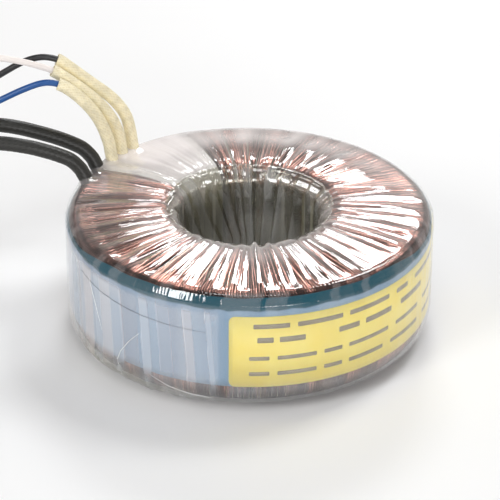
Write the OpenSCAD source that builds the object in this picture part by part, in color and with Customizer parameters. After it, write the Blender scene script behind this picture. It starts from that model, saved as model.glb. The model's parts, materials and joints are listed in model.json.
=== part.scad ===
// Toroidal mains transformer with flying leads.
// It is built from the strip-wound core outwards: each winding and each wrap
// takes its size from the one inside it, so the overall size follows from the core.
// The axis is vertical (+Z), the origin is the middle of the underside.

/* [Core] */
// Outer diameter of the strip-wound steel core
core_od = 87; // [70:0.5:110]
// Inner diameter of the core
core_id = 46.2; // [40:0.2:56]
// Height of the core
core_h = 25.3; // [18:0.1:40]
// Radius on the edges of the core
core_edge_r = 1; // [0.4:0.1:2]
// Thickness of the tape round the core
core_tape_t = 0.4; // [0.2:0.05:1]

/* [Primary winding] */
// Build of the primary at the outside of the core
primary_out_t = 1.05; // [0.6:0.05:2]
// Build of the primary in the hole, where its turns crowd together
primary_in_t = 1.9; // [1:0.1:2.6]
// Build of the primary on the top and the underside
primary_end_t = 1.5; // [0.8:0.1:2.4]
// Thickness of the tape between the windings
barrier_t = 0.4; // [0.2:0.05:0.8]

/* [Secondary winding] */
// Build of the secondary at the outside
secondary_out_t = 0.85; // [0.6:0.05:1.6]
// Build of the secondary in the hole
secondary_in_t = 1.6; // [1:0.1:2.4]
// Build of the secondary on the top and the underside
secondary_end_t = 1.2; // [0.8:0.1:2]
// Number of ribs that the outermost turns show, counted round the whole circle
rib_count = 112; // [60:2:120]
// Depth of the groove between two ribs
rib_depth = 0.35; // [0.15:0.05:0.5]
// How much each winding rises from its outer edge to the rim of the hole
winding_rise = 0.5; // [0.2:0.1:0.8]

/* [Band and label] */
// Height of the tape band round the outside
band_h = 25; // [16:0.2:25.2]
// Distance from the top of the wrap down to the band's upper edge
band_z = 1.75; // [1.75:0.05:3]
// Thickness of the band
band_t = 0.25; // [0.1:0.05:0.5]
// Length of the label round the band
label_l = 90; // [40:1:140]
// Height of the label
label_h = 20; // [10:0.5:22]
// Thickness of the label
label_t = 0.12; // [0.08:0.02:0.3]
// Direction in which the label starts, in degrees from +X
label_start = 264; // [240:1:290]

/* [Clear wrap] */
// Build of the clear film on the outer wall
film_wall_t = 0.6; // [0.4:0.05:1]
// Build of the clear film with its pleats, on the top and the underside
film_end_t = 1.1; // [0.9:0.05:1.5]
// Build of the clear film in the hole
film_in_t = 0.75; // [0.6:0.05:1.2]
// Radius on the upper edge of the wrap, where it is stretched over the band
film_edge_r = 1.2; // [1:0.1:2]
// Number of pleats round the top
pleat_count = 76; // [40:2:84]
// Depth of the pleats on the top
pleat_depth = 0.8; // [0.2:0.05:0.85]
// Depth of the film's folds on the outer wall
wall_fold = 0.25; // [0.05:0.05:0.35]
// How far the loose fold at the lower edge stands out
loose_fold = 1; // [0:0.1:1.5]

/* [Leads] */
// Angle of the gap that the secondary leaves for the primary's leads
gap_angle = 40; // [34:1:46]
// Direction of the middle of that gap, in degrees from +X
gap_middle = 132; // [130:1:134]
// Outside diameter of the yellow sleeves
sleeve_d = 3.3; // [2.9:0.1:3.4]
// Bore of the yellow sleeves
sleeve_bore = 2.4; // [2.3:0.05:2.5]
// Outside diameter of the insulated primary leads
lead_d = 1.7; // [1.4:0.1:1.9]
// Outside diameter of the black sleeved secondary leads
black_d = 3.8; // [3:0.1:4]
// Diameter of the tinned ends of the primary leads
strand_d = 1; // [0.6:0.1:1.2]
// Diameter of the tinned ends of the secondary leads
wire_d = 1.2; // [0.8:0.1:1.6]
// Length of bare wire at the end of each lead
bare_l = 7; // [4:0.5:10]

/* [Fits] */
// Clearance between neighbouring layers
layer_gap = 0.05; // [0.02:0.01:0.1]
// Clearance round a lead where it comes through the wrap
exit_gap = 0.3; // [0.2:0.05:0.5]

/* [Hidden] */
$fn = 96;

// A ring surface is [outer r, inner r, bottom z, top z, rise, top corner, bottom corner, hole corner].
// Growing it outwards adds a wall's thickness on each side.
function grown(s, out_t, in_t, end_t, rise = 0) = [
    s[0] + out_t, s[1] - in_t, s[2] - end_t, s[3] + end_t, s[4] + rise,
    s[5] + out_t, s[6] + out_t, s[7] + (in_t + end_t) / 2
];
function clear_of(s, gap = layer_gap) = grown(s, gap, gap, gap);

// Everything that lies between the core and the underside sets the height of the core.
build_below = core_tape_t + primary_end_t + barrier_t + secondary_end_t + film_end_t + 5 * layer_gap;

core_skin = [core_od / 2, core_id / 2, build_below, build_below + core_h, 0,
    core_edge_r, core_edge_r, core_edge_r];
tape_bed = clear_of(core_skin);
tape_skin = grown(tape_bed, core_tape_t, core_tape_t, core_tape_t);
primary_bed = clear_of(tape_skin);
primary_skin = grown(primary_bed, primary_out_t, primary_in_t, primary_end_t, winding_rise);
barrier_bed = clear_of(primary_skin);
barrier_skin = grown(barrier_bed, barrier_t, barrier_t, barrier_t);
secondary_bed = clear_of(barrier_skin);
secondary_skin = grown(secondary_bed, secondary_out_t, secondary_in_t, secondary_end_t, winding_rise);
band_r = secondary_skin[0] + layer_gap;
label_r = band_r + band_t + layer_gap;
wrap_bed = clear_of(secondary_skin);

// The film is stretched over the upper edge of the band, so it rises less towards the hole
// than the winding does, and its outer wall clears the label.
film_rise = 0.4;
film_bed_r = label_r + label_t + layer_gap;
film_bed = [film_bed_r, wrap_bed[1], wrap_bed[2], wrap_bed[3], film_rise,
    film_edge_r - film_wall_t, wrap_bed[6], wrap_bed[7]];
film_r = film_bed_r + film_wall_t;
bore_r = film_bed[1] - film_in_t;
top_z = film_bed[3] + film_end_t;
film_skin = [film_r, bore_r, 0, top_z, film_rise, film_edge_r, film_bed[6], film_bed[7] + film_in_t];
band_low = top_z - band_z - band_h;
crest_w = 10;
crest_r = core_id / 2 + crest_w;

// Half section of a ring surface as points [r, z], anticlockwise from the lower outer corner.
// steps: number of steps in each corner, in the same order.
function arc(c, r, a, n) = [for (i = [0:n]) c + r * [cos(a + 90 * i / n), sin(a + 90 * i / n)]];
function section(s, steps = [3, 3, 3, 3]) = concat(
    arc([s[0] - s[6], s[2] + s[4] + s[6]], s[6], 270, steps[0]),
    arc([s[0] - s[5], s[3] - s[4] - s[5]], s[5], 0, steps[1]),
    [[crest_r, s[3]]],
    arc([s[1] + s[7], s[3] - s[7]], s[7], 90, steps[2]),
    arc([s[1] + s[7], s[2] + s[7]], s[7], 180, steps[3]),
    [[crest_r, s[2]]]
);

module ring(s, steps = [3, 3, 3, 3]) {
    rotate_extrude() polygon(section(s, steps));
}

module shell(skin, bed) {
    difference() {
        ring(skin);
        ring(bed);
    }
}

// A closed ring of n columns of m points each: faces between neighbouring columns.
function ring_faces(n, m) = [
    for (j = [0:n - 1], k = [0:m - 1])
        let (a = j * m, b = (j + 1) % n * m, l = (k + 1) % m)
            each [[a + k, a + l, b + l], [a + k, b + l, b + k]]
];

// Column of points in direction a, the share w of the way from the outline high to the outline low.
function column(high, low, w, a) = [
    for (k = [0:len(high) - 1])
        let (q = high[k] * (1 - w) + low[k] * w)
            [q[0] * cos(a), q[0] * sin(a), q[1]]
];

// ---- outermost turns of the secondary ----

// The steps of its corners are those of everything that nests against it.
rib_steps = [2, 2, 2, 2];
rib_low = grown(secondary_skin, -rib_depth, -rib_depth, -rib_depth);

module ribbed_turns() {
    high = section(secondary_skin, rib_steps);
    low = section(rib_low, rib_steps);
    n = 2 * rib_count;
    columns = [for (j = [0:n - 1]) column(high, low, j % 2, j * 360 / n)];
    polyhedron([for (c = columns) each c], ring_faces(n, len(high)));
}

// Wedge that spans the gap between the start and the finish of the secondary.
module gap_wedge() {
    far = 2 * film_r;
    a = gap_middle - gap_angle / 2;
    b = gap_middle + gap_angle / 2;
    translate([0, 0, -far / 2])
        linear_extrude(far)
            polygon([[0, 0], far * [cos(a), sin(a)], far * [cos(b), sin(b)]]);
}

// ---- clear wrap ----

// Pleats differ in depth, and a loose fold stands out at the lower edge.
pleat_seed = 7;
trim = 0.3;
film_high = [film_r, bore_r - trim, -trim, top_z, film_rise, film_skin[5], film_skin[6], film_skin[7]];
film_low = [film_r - wall_fold, bore_r - layer_gap, -layer_gap, top_z - pleat_depth, film_rise,
    film_skin[5], film_skin[6], film_skin[7]];
loose_at = 215;
loose_width = 14;

film_steps = [3, 2, 3, 2];
loose_points = [1, 2, 3];

module pleated_body() {
    high = section(film_high, film_steps);
    low = section(film_low, film_steps);
    n = 2 * pleat_count;
    m = len(high);
    depth = rands(0, 0.45, n, pleat_seed);
    shift = rands(-0.3, 0.3, n, pleat_seed + 1);
    columns = [
        for (j = [0:n - 1])
            let (
                a = (j + shift[j]) * 360 / n,
                w = j % 2 == 0 ? depth[j] : 1 - depth[j],
                out = loose_fold * (j % 2) * exp(-pow((a - loose_at) / loose_width, 2)),
                c = column(high, low, w, a)
            )
            [for (k = [0:m - 1]) c[k] + (len(search(k, loose_points)) > 0 ? out : 0) * [cos(a), sin(a), 0]]
    ];
    polyhedron([for (c = columns) each c], ring_faces(n, m));
}

// ---- leads ----

function unit(v) = v / norm(v);

// A lead leaves the shoulder of the winding at right angles to its surface.
// direction: degrees from +X; slope: degrees above the horizontal; s: distance from the surface.
foot_gap = 0.15;
shoulder_corner = secondary_skin[5];
shoulder_r = secondary_skin[0] - shoulder_corner;
shoulder_z = secondary_skin[3] - secondary_skin[4] - shoulder_corner;
function shoulder_normal(direction, slope) =
    [cos(slope) * cos(direction), cos(slope) * sin(direction), sin(slope)];
function foot(direction, slope, s) =
    [shoulder_r * cos(direction), shoulder_r * sin(direction), shoulder_z]
        + (shoulder_corner + foot_gap + s) * shoulder_normal(direction, slope);
// Angle that a distance round the shoulder takes up
function turn_by(distance) = distance / shoulder_r * 180 / PI;

// Rings of a route: the first stretches take one step each, the later ones two.
function spline(p, i, t) =
    let (
        last = len(p) - 1,
        a = p[max(i - 1, 0)], b = p[i], c = p[i + 1], d = p[min(i + 2, last)]
    )
        0.5 * (2 * b + (c - a) * t + (2 * a - 5 * b + 4 * c - d) * t * t
            + (3 * b - a - 3 * c + d) * t * t * t);
function rings(p, single) = concat(
    [
        for (i = [0:len(p) - 2])
            let (m = i < single ? 1 : 2)
                for (j = [0:m - 1]) spline(p, i, j / m)
    ],
    [p[len(p) - 1]]
);
function from(p, a, b) = [for (i = [a:b]) p[i]];

tube_sides = 8;
function tangent(p, i) = unit(p[min(i + 1, len(p) - 1)] - p[max(i - 1, 0)]);
function across(u, t) = unit(u - (u * t) * t);
function tube_points(p, r) = [
    for (
        i = 0, u = across([0, 1, 0.3], tangent(p, 0));
        i < len(p);
        i = i + 1, u = i < len(p) ? across(u, tangent(p, i)) : u
    )
        let (v = cross(tangent(p, i), u))
            for (k = [0:tube_sides - 1])
                p[i] + r * (cos(360 * k / tube_sides) * u + sin(360 * k / tube_sides) * v)
];

module tube(p, d) {
    n = len(p);
    m = tube_sides;
    sides = [
        for (i = [0:n - 2], k = [0:m - 1])
            let (a = i * m, b = a + m, l = (k + 1) % m)
                each [[a + k, b + k, b + l], [a + k, b + l, a + l]]
    ];
    caps = [[for (k = [0:m - 1]) k], [for (k = [0:m - 1]) n * m - 1 - k]];
    polyhedron(tube_points(p, d / 2), concat(sides, caps));
}

module sleeve_tube(p, d, bore) {
    n = len(p);
    m = tube_sides;
    inner = n * m;
    sides = [
        for (i = [0:n - 2], k = [0:m - 1])
            let (a = i * m, b = a + m, l = (k + 1) % m)
                each [
                    [a + k, b + k, b + l], [a + k, b + l, a + l],
                    [inner + a + k, inner + b + l, inner + b + k],
                    [inner + a + k, inner + a + l, inner + b + l]
                ]
    ];
    rims = [
        for (k = [0:m - 1])
            let (l = (k + 1) % m, z = (n - 1) * m)
                each [
                    [k, l, inner + l], [k, inner + l, inner + k],
                    [z + k, inner + z + l, z + l], [z + k, inner + z + k, inner + z + l]
                ]
    ];
    polyhedron(concat(tube_points(p, d / 2), tube_points(p, bore / 2)), concat(sides, rims));
}

// A round rod from point a to point b.
module rod(a, b, d) {
    v = b - a;
    translate(a)
        rotate([0, acos(v[2] / norm(v)), atan2(v[1], v[0])])
            cylinder(h = norm(v), d = d, $fn = 32);
}

// Primary leads: [direction of the foot, points in the sleeve, points beyond it]
primary_slope = 78;
foot_steps = [0, 3, 6];
primary_pitch = 4.08;
white_foot = 141;
black_foot = white_foot - turn_by(primary_pitch);
blue_foot = white_foot + turn_by(primary_pitch);
white_in_sleeve = [[-35.8, 28.2, 42.5], [-38, 28.2, 46.2], [-41, 28.2, 49.6], [-44.4, 28.2, 52.6],
    [-48, 28.2, 55.4], [-51.6, 28.2, 57.8]];
black_in_sleeve = [[-32.8, 31.7, 42.8], [-34.8, 31.8, 46.2], [-37.6, 31.8, 49.2], [-41, 31.8, 51.9],
    [-44.4, 31.8, 54.6], [-47.6, 31.8, 57.2], [-50.6, 31.8, 59.3]];
blue_in_sleeve = [[-38.6, 24.9, 43], [-40.6, 24.8, 47], [-43.4, 24.7, 50.6], [-46.6, 24.7, 53.6],
    [-50, 24.7, 55.6]];
white_free = [[-55.5, 28, 59.3], [-60, 28, 60.5], [-65, 28, 61.3], [-73, 28, 61], [-81, 28, 58.5],
    [-88, 28.5, 54], [-94, 29.5, 48], [-99, 31, 41], [-103, 33, 33.5], [-107, 35.5, 26],
    [-111, 38, 18.5], [-116, 41, 11.5], [-122, 44, 5.5], [-129, 46, 2], [-136.5, 45.5, 1],
    [-143.5, 42.5, 1], [-148.5, 37, 1], [-151, 29.5, 1]];
black_free = [[-54.6, 31.6, 60], [-59, 31.4, 58.9], [-64, 31.4, 56], [-71, 32, 51], [-77, 34, 45.5],
    [-82, 37, 39], [-86, 40.5, 32], [-90, 44, 25], [-94.5, 47.5, 18], [-99.5, 51, 11.5],
    [-106, 54, 6], [-113.5, 56.5, 2.3], [-122, 57.5, 1], [-130.5, 57.5, 1], [-139, 56.5, 1],
    [-146.5, 53.5, 1], [-152, 48, 1], [-155, 40.5, 1]];
blue_free = [[-54, 24.8, 55.8], [-59, 24.9, 53.9], [-65, 25, 50.8], [-73, 25, 46.5], [-80, 25.5, 41],
    [-86, 26.5, 34.5], [-91, 28.5, 27.5], [-95.5, 31, 20.5], [-100.5, 34, 13.5], [-106, 37.5, 7.5],
    [-113, 41, 3], [-120.5, 42.5, 1], [-129, 41, 1], [-136.5, 37, 1], [-142.5, 31, 1],
    [-146, 23.5, 1], [-147, 15.5, 1]];

function feet(direction, slope) = [for (s = foot_steps) foot(direction, slope, s)];
function primary_path(direction, inside, beyond) =
    rings(concat(feet(direction, primary_slope), inside, beyond), len(foot_steps) + len(inside));
white_path = primary_path(white_foot, white_in_sleeve, white_free);
black_path = primary_path(black_foot, black_in_sleeve, black_free);
blue_path = primary_path(blue_foot, blue_in_sleeve, blue_free);

// Secondary leads: the black sleeves leave the shoulder close beside the gap.
secondary_slope = 58;
finish_pitch = 4.45;
start_pitch = 6.3;
finish_foot = blue_foot + turn_by(finish_pitch);
start_foot = finish_foot + turn_by(start_pitch);
start_free = [[-46.6, 15.3, 38.2], [-49.8, 15.3, 39.7], [-53.5, 15.2, 41], [-58, 15.1, 42.2], [-65, 15, 43.2],
    [-73, 14.5, 43], [-81, 13.5, 40], [-88, 12, 34.5], [-93.5, 10, 27.5], [-98, 7, 20.5],
    [-102.5, 3, 14], [-107.5, -1.5, 8], [-113.5, -6.5, 4], [-120, -12.5, 2.2], [-125.5, -19.5, 2],
    [-128.5, -28, 2], [-128, -36.5, 2], [-123.5, -43.5, 2], [-116, -47, 2], [-107.5, -46.5, 2]];
finish_free = [[-43.8, 21.9, 38.2], [-47, 21.8, 40], [-51, 21.6, 41.7], [-55.5, 21.4, 43.2],
    [-60, 21.2, 44.5], [-65, 21, 45.4], [-73, 21, 45.5], [-81, 20.5, 43], [-88.5, 19.5, 38.5],
    [-95, 18, 32], [-100.5, 15.5, 25], [-106, 12, 18], [-112, 7.5, 11.5], [-119, 2, 6],
    [-126, -4, 3], [-132, -11, 2], [-136, -19.5, 2], [-137.5, -28.5, 2], [-136.5, -38, 2],
    [-132, -46, 2]];
secondary_steps = [0, 2, 4];
function secondary_path(direction, beyond) =
    concat([for (s = secondary_steps) foot(direction, secondary_slope, s)], beyond);
start_path = secondary_path(start_foot, start_free);
finish_path = secondary_path(finish_foot, finish_free);

// The splice sits in the straight foot of its sleeve, on a tail of the primary's own wire.
tail_d = 0.5;
tail_hole_d = 1;
tail_depth = barrier_t + secondary_out_t + primary_out_t;
splice_d = 1.3;
splice_at = 1;
splice_l = 4.8;
lead_from = 2;

module tail_rod(direction, d) {
    rod(foot(direction, primary_slope, -tail_depth), foot(direction, primary_slope, splice_at), d);
}

module exit_hole(direction, slope, d) {
    reach = 8;
    rod(foot(direction, slope, -foot_gap), foot(direction, slope, reach), d + 2 * exit_gap);
}

module splice(direction) {
    rod(
        foot(direction, primary_slope, splice_at),
        foot(direction, primary_slope, splice_at + splice_l),
        splice_d
    );
}

module sleeve_on(path, inside) {
    sleeve_tube(from(path, 0, len(foot_steps) + len(inside) - 1), sleeve_d, sleeve_bore);
}

module lead_in(path) {
    tube(from(path, lead_from, len(path) - 1), lead_d);
}

// Bare wire beyond the last point of a path.
module bare_end(path, d) {
    last = path[len(path) - 1];
    before = path[len(path) - 2];
    rod(last, last + bare_l * unit([last[0] - before[0], last[1] - before[1], 0]), d);
}

// ---- sub-parts ----

module steel_core() {
    color("dimgray") ring(core_skin);
}

module core_tape() {
    color("ivory") shell(tape_skin, tape_bed);
}

module primary_winding() {
    color("sienna") {
        shell(primary_skin, primary_bed);
        for (a = [white_foot, black_foot, blue_foot])
            tail_rod(a, tail_d);
    }
}

module barrier_tape() {
    color("lightyellow")
        difference() {
            shell(barrier_skin, barrier_bed);
            for (a = [white_foot, black_foot, blue_foot])
                tail_rod(a, tail_hole_d);
        }
}

module secondary_winding() {
    color("peru")
        difference() {
            ribbed_turns();
            ring(secondary_bed);
            gap_wedge();
        }
}

// Insulating pad that fills the gap in the secondary.
module lead_pad() {
    edge = 0.3;
    color("whitesmoke")
        difference() {
            rotate([0, 0, gap_middle - gap_angle / 2 + edge])
                rotate_extrude(angle = gap_angle - 2 * edge)
                    difference() {
                        polygon(section(secondary_skin, rib_steps));
                        polygon(section(secondary_bed));
                    }
            for (a = [white_foot, black_foot, blue_foot])
                tail_rod(a, tail_hole_d);
        }
}

// The band is notched where the secondary's leads cross its upper edge.
module blue_band() {
    color("cornflowerblue")
        difference() {
            translate([0, 0, band_low])
                rotate_extrude()
                    translate([band_r, 0])
                        square([band_t, band_h]);
            for (a = [start_foot, finish_foot])
                exit_hole(a, secondary_slope, black_d);
        }
}

module label() {
    color("khaki")
        translate([0, 0, band_low])
            rotate([0, 0, label_start])
                rotate_extrude(angle = label_l / label_r * 180 / PI)
                    translate([label_r, 0])
                        square([label_t, label_h]);
}

module clear_wrap() {
    far = 4 * film_r;
    color([0.9, 0.92, 0.95, 0.35])
        difference() {
            pleated_body();
            ring(film_bed, rib_steps);
            translate([0, 0, -far / 2]) cylinder(h = far, r = bore_r);
            translate([0, 0, -far]) cylinder(h = far, r = far);
            for (a = [white_foot, black_foot, blue_foot])
                exit_hole(a, primary_slope, sleeve_d);
            for (a = [start_foot, finish_foot])
                exit_hole(a, secondary_slope, black_d);
        }
}

module white_sleeve() {
    color("palegoldenrod") sleeve_on(white_path, white_in_sleeve);
}

module black_sleeve() {
    color("palegoldenrod") sleeve_on(black_path, black_in_sleeve);
}

module blue_sleeve() {
    color("palegoldenrod") sleeve_on(blue_path, blue_in_sleeve);
}

module white_splice() {
    color("silver") splice(white_foot);
}

module black_splice() {
    color("silver") splice(black_foot);
}

module blue_splice() {
    color("silver") splice(blue_foot);
}

module white_lead() {
    color("white") lead_in(white_path);
}

module black_lead() {
    color([0.1, 0.1, 0.1]) lead_in(black_path);
}

module blue_lead() {
    color("royalblue") lead_in(blue_path);
}

module white_lead_end() {
    color("silver") bare_end(white_path, strand_d);
}

module black_lead_end() {
    color("silver") bare_end(black_path, strand_d);
}

module blue_lead_end() {
    color("silver") bare_end(blue_path, strand_d);
}

module secondary_start() {
    color([0.12, 0.12, 0.1]) tube(start_path, black_d);
}

module secondary_finish() {
    color([0.12, 0.12, 0.1]) tube(finish_path, black_d);
}

module secondary_start_end() {
    color("silver") bare_end(start_path, wire_d);
}

module secondary_finish_end() {
    color("silver") bare_end(finish_path, wire_d);
}

steel_core();
core_tape();
primary_winding();
barrier_tape();
secondary_winding();
lead_pad();
blue_band();
label();
clear_wrap();
white_sleeve();
black_sleeve();
blue_sleeve();
white_splice();
black_splice();
blue_splice();
white_lead();
black_lead();
blue_lead();
white_lead_end();
black_lead_end();
blue_lead_end();
secondary_start();
secondary_finish();
secondary_start_end();
secondary_finish_end();
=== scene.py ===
"""Looks of a ring-shaped mains transformer: copper turns under clear film, a blue band with a
label, and five flying leads. Sizes are in millimetres until a mesh is made, and in metres in
Blender.
"""

import json
import math

import bpy
import numpy as np
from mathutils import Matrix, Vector


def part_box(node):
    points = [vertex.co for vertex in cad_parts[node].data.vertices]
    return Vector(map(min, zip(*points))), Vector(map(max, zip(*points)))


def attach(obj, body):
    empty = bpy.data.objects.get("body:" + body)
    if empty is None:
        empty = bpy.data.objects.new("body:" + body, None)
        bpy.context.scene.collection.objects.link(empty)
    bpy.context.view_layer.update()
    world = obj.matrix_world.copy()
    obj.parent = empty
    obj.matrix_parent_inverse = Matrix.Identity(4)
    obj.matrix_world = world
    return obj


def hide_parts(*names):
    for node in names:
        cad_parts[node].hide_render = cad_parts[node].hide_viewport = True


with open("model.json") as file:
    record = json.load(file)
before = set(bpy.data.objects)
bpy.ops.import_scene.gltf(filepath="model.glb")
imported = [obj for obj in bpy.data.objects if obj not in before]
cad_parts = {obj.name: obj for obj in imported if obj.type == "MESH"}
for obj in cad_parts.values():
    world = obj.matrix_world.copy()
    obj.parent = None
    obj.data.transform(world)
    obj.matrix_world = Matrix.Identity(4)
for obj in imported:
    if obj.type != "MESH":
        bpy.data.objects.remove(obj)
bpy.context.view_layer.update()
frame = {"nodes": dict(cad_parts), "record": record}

MM = 0.001
DEG = math.pi / 180


def size_of(name):
    """Lowest and highest corner of a CAD node, in millimetres."""
    low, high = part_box(name)
    return np.array(low) / MM, np.array(high) / MM


# ---- sizes that the pieces share, from the frame ----

WINDING_R = size_of("secondary_winding")[1][0]
WINDING_TOP = size_of("secondary_winding")[1][2]
WINDING_LOW = size_of("secondary_winding")[0][2]
WRAP_R = size_of("clear_wrap")[1][0]
WRAP_TOP = size_of("clear_wrap")[1][2]
BAND_LOW = size_of("blue_band")[0][2]
BAND_TOP = size_of("blue_band")[1][2]
BAND_R = size_of("blue_band")[1][0]
BORE_R = frame["record"]["mounts"][0]["dims"]["r_mm"]


# ---- sizes of the scene's own shapes, in mm and degrees ----

SHOULDER_CORNER = 3.9  # upper outer corner of the winding
CREST_R = 30  # the wound ring is highest from the hole to here
CHAMFER_ARCS = (1.2, 2.6)  # radii below and above the straight flank of the film's shoulder
CHAMFER_SLOPE = 30
CHAMFER_FLANK = 1.7
HEEL_CORNER = 5.6  # lower outer corner of the turns
HOLE_CORNER = 5.1
WINDING_RISE = 1.0  # from the winding's outer edge up to its crest
TURNS_RISE = 0.6
TURNS_CORNER = 3.0
TURNS_BORE_R = 18.6
GAP_MIDDLE = 132  # where the secondary leaves room for the primary's leads
GAP_ANGLE = 40
LABEL_START = 264
LABEL_LENGTH = 90
LABEL_HEIGHT = 20
LABEL_R = 46.87
LABEL_CORNER = 1.6
LABEL_THICKNESS = 0.12


def random(seed):
    """A source of random numbers that gives the same ones each run."""
    return np.random.default_rng(seed)


def smooth(x):
    """0 below 0, 1 above 1, with an even slope between."""
    x = np.clip(x, 0, 1)
    return x * x * (3 - 2 * x)


def bell(x, centre, width, power=2):
    """1 at the centre, and close to 0 from two widths away."""
    return np.exp(-(((x - centre) / width) ** power))


def aside_of(angle, direction):
    """How far an angle lies from a direction, between -180 and 180 degrees."""
    return (angle - direction + 180) % 360 - 180


def around(radius, turn, level):
    """Points at a radius and a level, turned round the axis by an angle in radians."""
    return np.stack(np.broadcast_arrays(radius * np.cos(turn), radius * np.sin(turn), level), -1)


# ---- meshes ----


def mesh_piece(name, points, faces, material, slot, values=None):
    """A smooth mesh object from points in millimetres.
    values: {attribute name: one number a point}."""
    mesh = bpy.data.meshes.new(name)
    mesh.from_pydata(np.asarray(points) * MM, [], faces)
    for key, numbers in (values or {}).items():
        layer = mesh.attributes.new(key, "FLOAT", "POINT")
        layer.data.foreach_set("value", np.asarray(numbers, np.float32))
    mesh.polygons.foreach_set("use_smooth", [True] * len(mesh.polygons))
    mesh.materials.append(material)
    piece = bpy.data.objects.new(name, mesh)
    bpy.context.scene.collection.objects.link(piece)
    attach(piece, "root")
    return piece


def grid_faces(rows, columns, wrap_rows=False, wrap_columns=False):
    """Quads of a grid whose point (i, j) has the number i * columns + j."""
    i = np.arange(rows if wrap_rows else rows - 1)[:, None]
    j = np.arange(columns if wrap_columns else columns - 1)[None, :]
    i2 = (i + 1) % rows
    j2 = (j + 1) % columns
    quads = [i * columns + j, i * columns + j2, i2 * columns + j2, i2 * columns + j]
    shape = len(i), j.shape[1]
    return np.stack([np.broadcast_to(q, shape) for q in quads], -1).reshape(-1, 4).tolist()


def frames_along(path):
    """Unit tangents and two unit vectors across them, without twist, for the points of a path."""
    tangent = np.gradient(path, axis=0)
    tangent /= np.linalg.norm(tangent, axis=1)[:, None]
    u = np.array([0.0, 1.0, 0.3])
    across = []
    for t in tangent:
        u = u - (u @ t) * t
        u /= np.linalg.norm(u)
        across.append(u)
    across = np.array(across)
    return tangent, across, np.cross(tangent, across)


def tube_points(path, radius, sides):
    """Points round a path, one ring a point. radius: one number, or an array of rings by sides."""
    _, u, v = frames_along(path)
    turn = (np.arange(sides) * 2 * math.pi / sides)[None, :, None]
    radius = np.broadcast_to(np.asarray(radius, float), (len(path), sides))[..., None]
    ring = np.cos(turn) * u[:, None] + np.sin(turn) * v[:, None]
    return (path[:, None] + radius * ring).reshape(-1, 3)


def tube_ends(points, sides):
    """The two faces that close a tube of that many points."""
    return [list(range(sides))[::-1], [points - sides + k for k in range(sides)]]


def tube_faces(rings, sides):
    return grid_faces(rings, sides, wrap_columns=True) + tube_ends(rings * sides, sides)


def evenly(path, step):
    """The path again with points a step apart."""
    along = np.concatenate([[0], np.cumsum(np.linalg.norm(np.diff(path, axis=0), axis=1))])
    at = np.linspace(0, along[-1], max(3, int(along[-1] / step) + 1))
    return np.stack([np.interp(at, along, path[:, k]) for k in range(3)], 1)


# ---- materials ----


def new_material(name):
    made = bpy.data.materials.new(name)
    made.use_nodes = True
    made.node_tree.nodes.clear()
    return made


def node(material, kind, inputs=None, **settings):
    """A new node. An input is a number, a colour, or an output socket of another node."""
    made = material.node_tree.nodes.new(kind)
    for key, value in settings.items():
        setattr(made, key, value)
    for key, value in (inputs or {}).items():
        if isinstance(value, bpy.types.NodeSocket):
            material.node_tree.links.new(value, made.inputs[key])
        else:
            made.inputs[key].default_value = value
    return made


def show(material, shader):
    """Sends a shader to the material's surface."""
    out = node(material, "ShaderNodeOutputMaterial")
    material.node_tree.links.new(shader, out.inputs["Surface"])
    return material


def place(material):
    """The object's own coordinates, in metres."""
    return node(material, "ShaderNodeTexCoord").outputs["Object"]


def noise(material, scale, detail=3.0, vector=None, roughness=0.5):
    inputs = {"Scale": scale, "Detail": detail, "Roughness": roughness}
    inputs["Vector"] = place(material) if vector is None else vector
    return node(material, "ShaderNodeTexNoise", inputs).outputs["Fac"]


def ramp(material, factor, low, high, low_colour, high_colour):
    """A colour ramp between two places on the factor."""
    made = node(material, "ShaderNodeValToRGB", {"Fac": factor})
    first, last = made.color_ramp.elements
    first.position, last.position = low, high
    first.color, last.color = (*low_colour, 1), (*high_colour, 1)
    return made.outputs["Color"]


def bump(material, height, strength, distance, **more):
    inputs = {"Height": height, "Strength": strength, "Distance": distance, **more}
    return node(material, "ShaderNodeBump", inputs).outputs["Normal"]


def attribute(material, name):
    """A number that the mesh holds at each of its points."""
    return node(material, "ShaderNodeAttribute", attribute_name=name).outputs["Fac"]


def reckon(material, operation, *numbers):
    """The result of a Math node."""
    inputs = dict(enumerate(numbers))
    return node(material, "ShaderNodeMath", inputs, operation=operation).outputs[0]


def colour_mix(material, share, first, second, **settings):
    inputs = {0: share, 6: first, 7: second}
    return node(material, "ShaderNodeMix", inputs, data_type="RGBA", **settings).outputs[2]


def shader_mix(material, share, first, second):
    inputs = {0: share, 1: first, 2: second}
    return node(material, "ShaderNodeMixShader", inputs).outputs[0]


def principled(material, **inputs):
    """A Principled shader. Names of inputs are written with _ for a space."""
    spaced = {key.replace("_", " "): value for key, value in inputs.items()}
    return node(material, "ShaderNodeBsdfPrincipled", spaced).outputs["BSDF"]


def plain(name, low, high, roughness, metallic=0.0, grain=900.0, depth=0.00004, coat=0.0):
    """A material whose colour wanders between two, with a fine grain."""
    made = new_material(name)
    wander = noise(made, grain / 6, 4)
    shader = principled(
        made,
        Base_Color=ramp(made, wander, 0.3, 0.7, low, high),
        Roughness=roughness,
        Metallic=metallic,
        Coat_Weight=coat,
        Normal=bump(made, noise(made, grain, 2), 0.4, depth),
    )
    return show(made, shader)


def copper_material():
    """Enamelled wire: copper under a brown-red varnish, a little different from turn to turn."""
    made = new_material("enamelled_copper")
    # each turn's own tone, with painted shade taken off it low down and at the top's outer edge
    tone = attribute(made, "tone")
    shader = principled(
        made,
        Base_Color=ramp(made, tone, 0, 1, (0.05, 0.018, 0.014), (0.80, 0.45, 0.38)),
        Metallic=1.0,
        Roughness=0.22,
        Coat_Weight=0.1,
        Coat_Roughness=0.12,
        Normal=bump(made, noise(made, 1500, 2), 0.15, 0.00003),
    )
    return show(made, shader)


FILM_RIBS = 300.0  # fine ribs round the ring
FILM_STEEPNESS = 4.0  # how late the mirror grows towards a grazing view


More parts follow.
